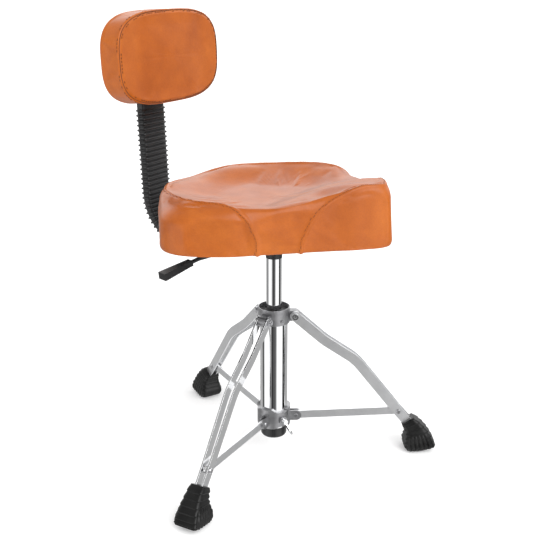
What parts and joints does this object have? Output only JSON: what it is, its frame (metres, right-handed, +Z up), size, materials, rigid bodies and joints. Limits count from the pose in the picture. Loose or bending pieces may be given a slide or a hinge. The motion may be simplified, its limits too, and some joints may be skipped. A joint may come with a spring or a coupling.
{
  "type": "drum throne",
  "caption": "Height-adjustable swivelling drum throne with a saddle seat, a padded backrest on a curved bar and a folding three-leg stand.",
  "frame": {"origin": "on the floor, on the axis of the column", "axes": "+Z up along the column; the seat faces -Y with the backrest at +Y; the height lever points to -X"},
  "size_m": [0.5321, 0.5448, 0.8025],
  "materials": {
    "chrome": "mirror-polished chrome plate",
    "zinc": "cast metal, silver grey, satin",
    "steel": "plain zinc-plated steel",
    "black_steel": "black powder coat, semi-matt",
    "black_plastic": "black moulded plastic, fine grain",
    "bush": "grey moulded guide bush",
    "rubber": "black moulded rubber, matt",
    "skin": "tan faux leather, softly mottled, semi-gloss",
    "wood": "raw birch plywood",
    "cloth": "thin black dust cover"
  },
  "bodies": {
    "column": {"column_tube": "chrome", "column_base_disc": "steel", "column_end_cap": "black_plastic", "guide_bush": "bush", "upper_collar": "zinc", "collar_set_screws": "chrome", "leg_pivot_bolts": "chrome", "leg_pivot_nuts": "steel", "thrust_bearing": "steel"},
    "leg_a": {"leg_a_strip_left": "chrome", "leg_a_strip_right": "chrome", "leg_a_knee_rivets": "steel", "foot_a": "rubber"},
    "leg_b": {"leg_b_strip_left": "chrome", "leg_b_strip_right": "chrome", "leg_b_knee_rivets": "steel", "foot_b": "rubber"},
    "leg_c": {"leg_c_strip_left": "chrome", "leg_c_strip_right": "chrome", "leg_c_knee_rivets": "steel", "foot_c": "rubber"},
    "lower_collar": {"lower_collar": "zinc", "ear_rivets": "steel"},
    "stay_a": {"stay_a": "chrome"},
    "stay_b": {"stay_b": "chrome"},
    "stay_c": {"stay_c": "chrome"},
    "wing_screw": {"wing_screw": "chrome"},
    "piston_rod": {"piston_rod": "chrome", "rod_clip": "steel"},
    "seat": {"pressure_tube": "chrome", "taper_hub": "black_steel", "seat_plate": "black_steel", "seat_plate_screws": "steel", "lever_pivot_pin": "steel", "seat_board": "wood", "dust_cover": "cloth", "seat_cushion": "skin", "back_bar": "black_steel", "back_bar_bolts": "steel", "bar_sleeve": "black_plastic", "back_board": "wood", "back_board_screws": "steel", "back_cushion": "skin"},
    "valve_button": {"valve_button": "steel"},
    "lever": {"lever_rod": "black_steel", "lever_handle": "black_plastic"}
  },
  "joints": [
    {"name": "leg_a_fold", "type": "hinge", "parent": "column", "child": "leg_a", "pos_m": [-0.03799, -0.00286, 0.2741], "axis": [0.075, -0.9972, 0], "range_deg": [0, 38]},
    {"name": "leg_b_fold", "type": "hinge", "parent": "column", "child": "leg_b", "pos_m": [0.02147, -0.03147, 0.2741], "axis": [0.8261, 0.5635, 0], "range_deg": [0, 38]},
    {"name": "leg_c_fold", "type": "hinge", "parent": "column", "child": "leg_c", "pos_m": [0.01652, 0.03433, 0.2741], "axis": [-0.9011, 0.4337, 0], "range_deg": [0, 38]},
    {"name": "lower_collar_slide", "type": "slide", "parent": "column", "child": "lower_collar", "axis": [0, 0, 1], "range_m": [0, 0.1171]},
    {"name": "stay_a_swing", "type": "hinge", "parent": "lower_collar", "child": "stay_a", "pos_m": [-0.04148, -0.00312, 0.0735], "axis": [0.075, -0.9972, 0], "range_deg": [0, 82.9]},
    {"name": "stay_b_swing", "type": "hinge", "parent": "lower_collar", "child": "stay_b", "pos_m": [0.02344, -0.03437, 0.0735], "axis": [0.8261, 0.5635, 0], "range_deg": [0, 82.9]},
    {"name": "stay_c_swing", "type": "hinge", "parent": "lower_collar", "child": "stay_c", "pos_m": [0.01804, 0.03748, 0.0735], "axis": [-0.9011, 0.4337, 0], "range_deg": [0, 82.9]},
    {"name": "wing_screw_turn", "type": "hinge", "parent": "lower_collar", "child": "wing_screw", "pos_m": [-0.01301, -0.02703, 0.0755], "axis": [-0.4337, -0.9011, 0], "range_deg": [0, 360]},
    {"name": "seat_swivel", "type": "hinge", "parent": "column", "child": "piston_rod", "pos_m": [0, 0, 0], "axis": [0, 0, 1], "continuous": true},
    {"name": "seat_lift", "type": "slide", "parent": "piston_rod", "child": "seat", "axis": [0, 0, 1], "range_m": [-0.09, 0]},
    {"name": "lever_lift", "type": "hinge", "parent": "seat", "child": "lever", "pos_m": [-0.024, 0, 0.42], "axis": [0, 1, 0], "range_deg": [0, 5], "stiffness_Nm_per_rad": 2, "springref_deg": -8.59},
    {"name": "valve_press", "type": "slide", "parent": "seat", "child": "valve_button", "axis": [0, 0, -1], "range_m": [0, 0.0027]}
  ],
  "couplings": [
    {"joint": "leg_b_fold", "follows": "leg_a_fold", "ratio": 1},
    {"joint": "leg_c_fold", "follows": "leg_a_fold", "ratio": 1},
    {"joint": "lower_collar_slide", "follows": "leg_a_fold", "m_per_rad": 0.17586},
    {"joint": "stay_a_swing", "follows": "leg_a_fold", "ratio": 2.1775},
    {"joint": "stay_b_swing", "follows": "leg_a_fold", "ratio": 2.1775},
    {"joint": "stay_c_swing", "follows": "leg_a_fold", "ratio": 2.1775},
    {"joint": "valve_press", "follows": "lever_lift", "m_per_rad": 0.03}
  ]
}
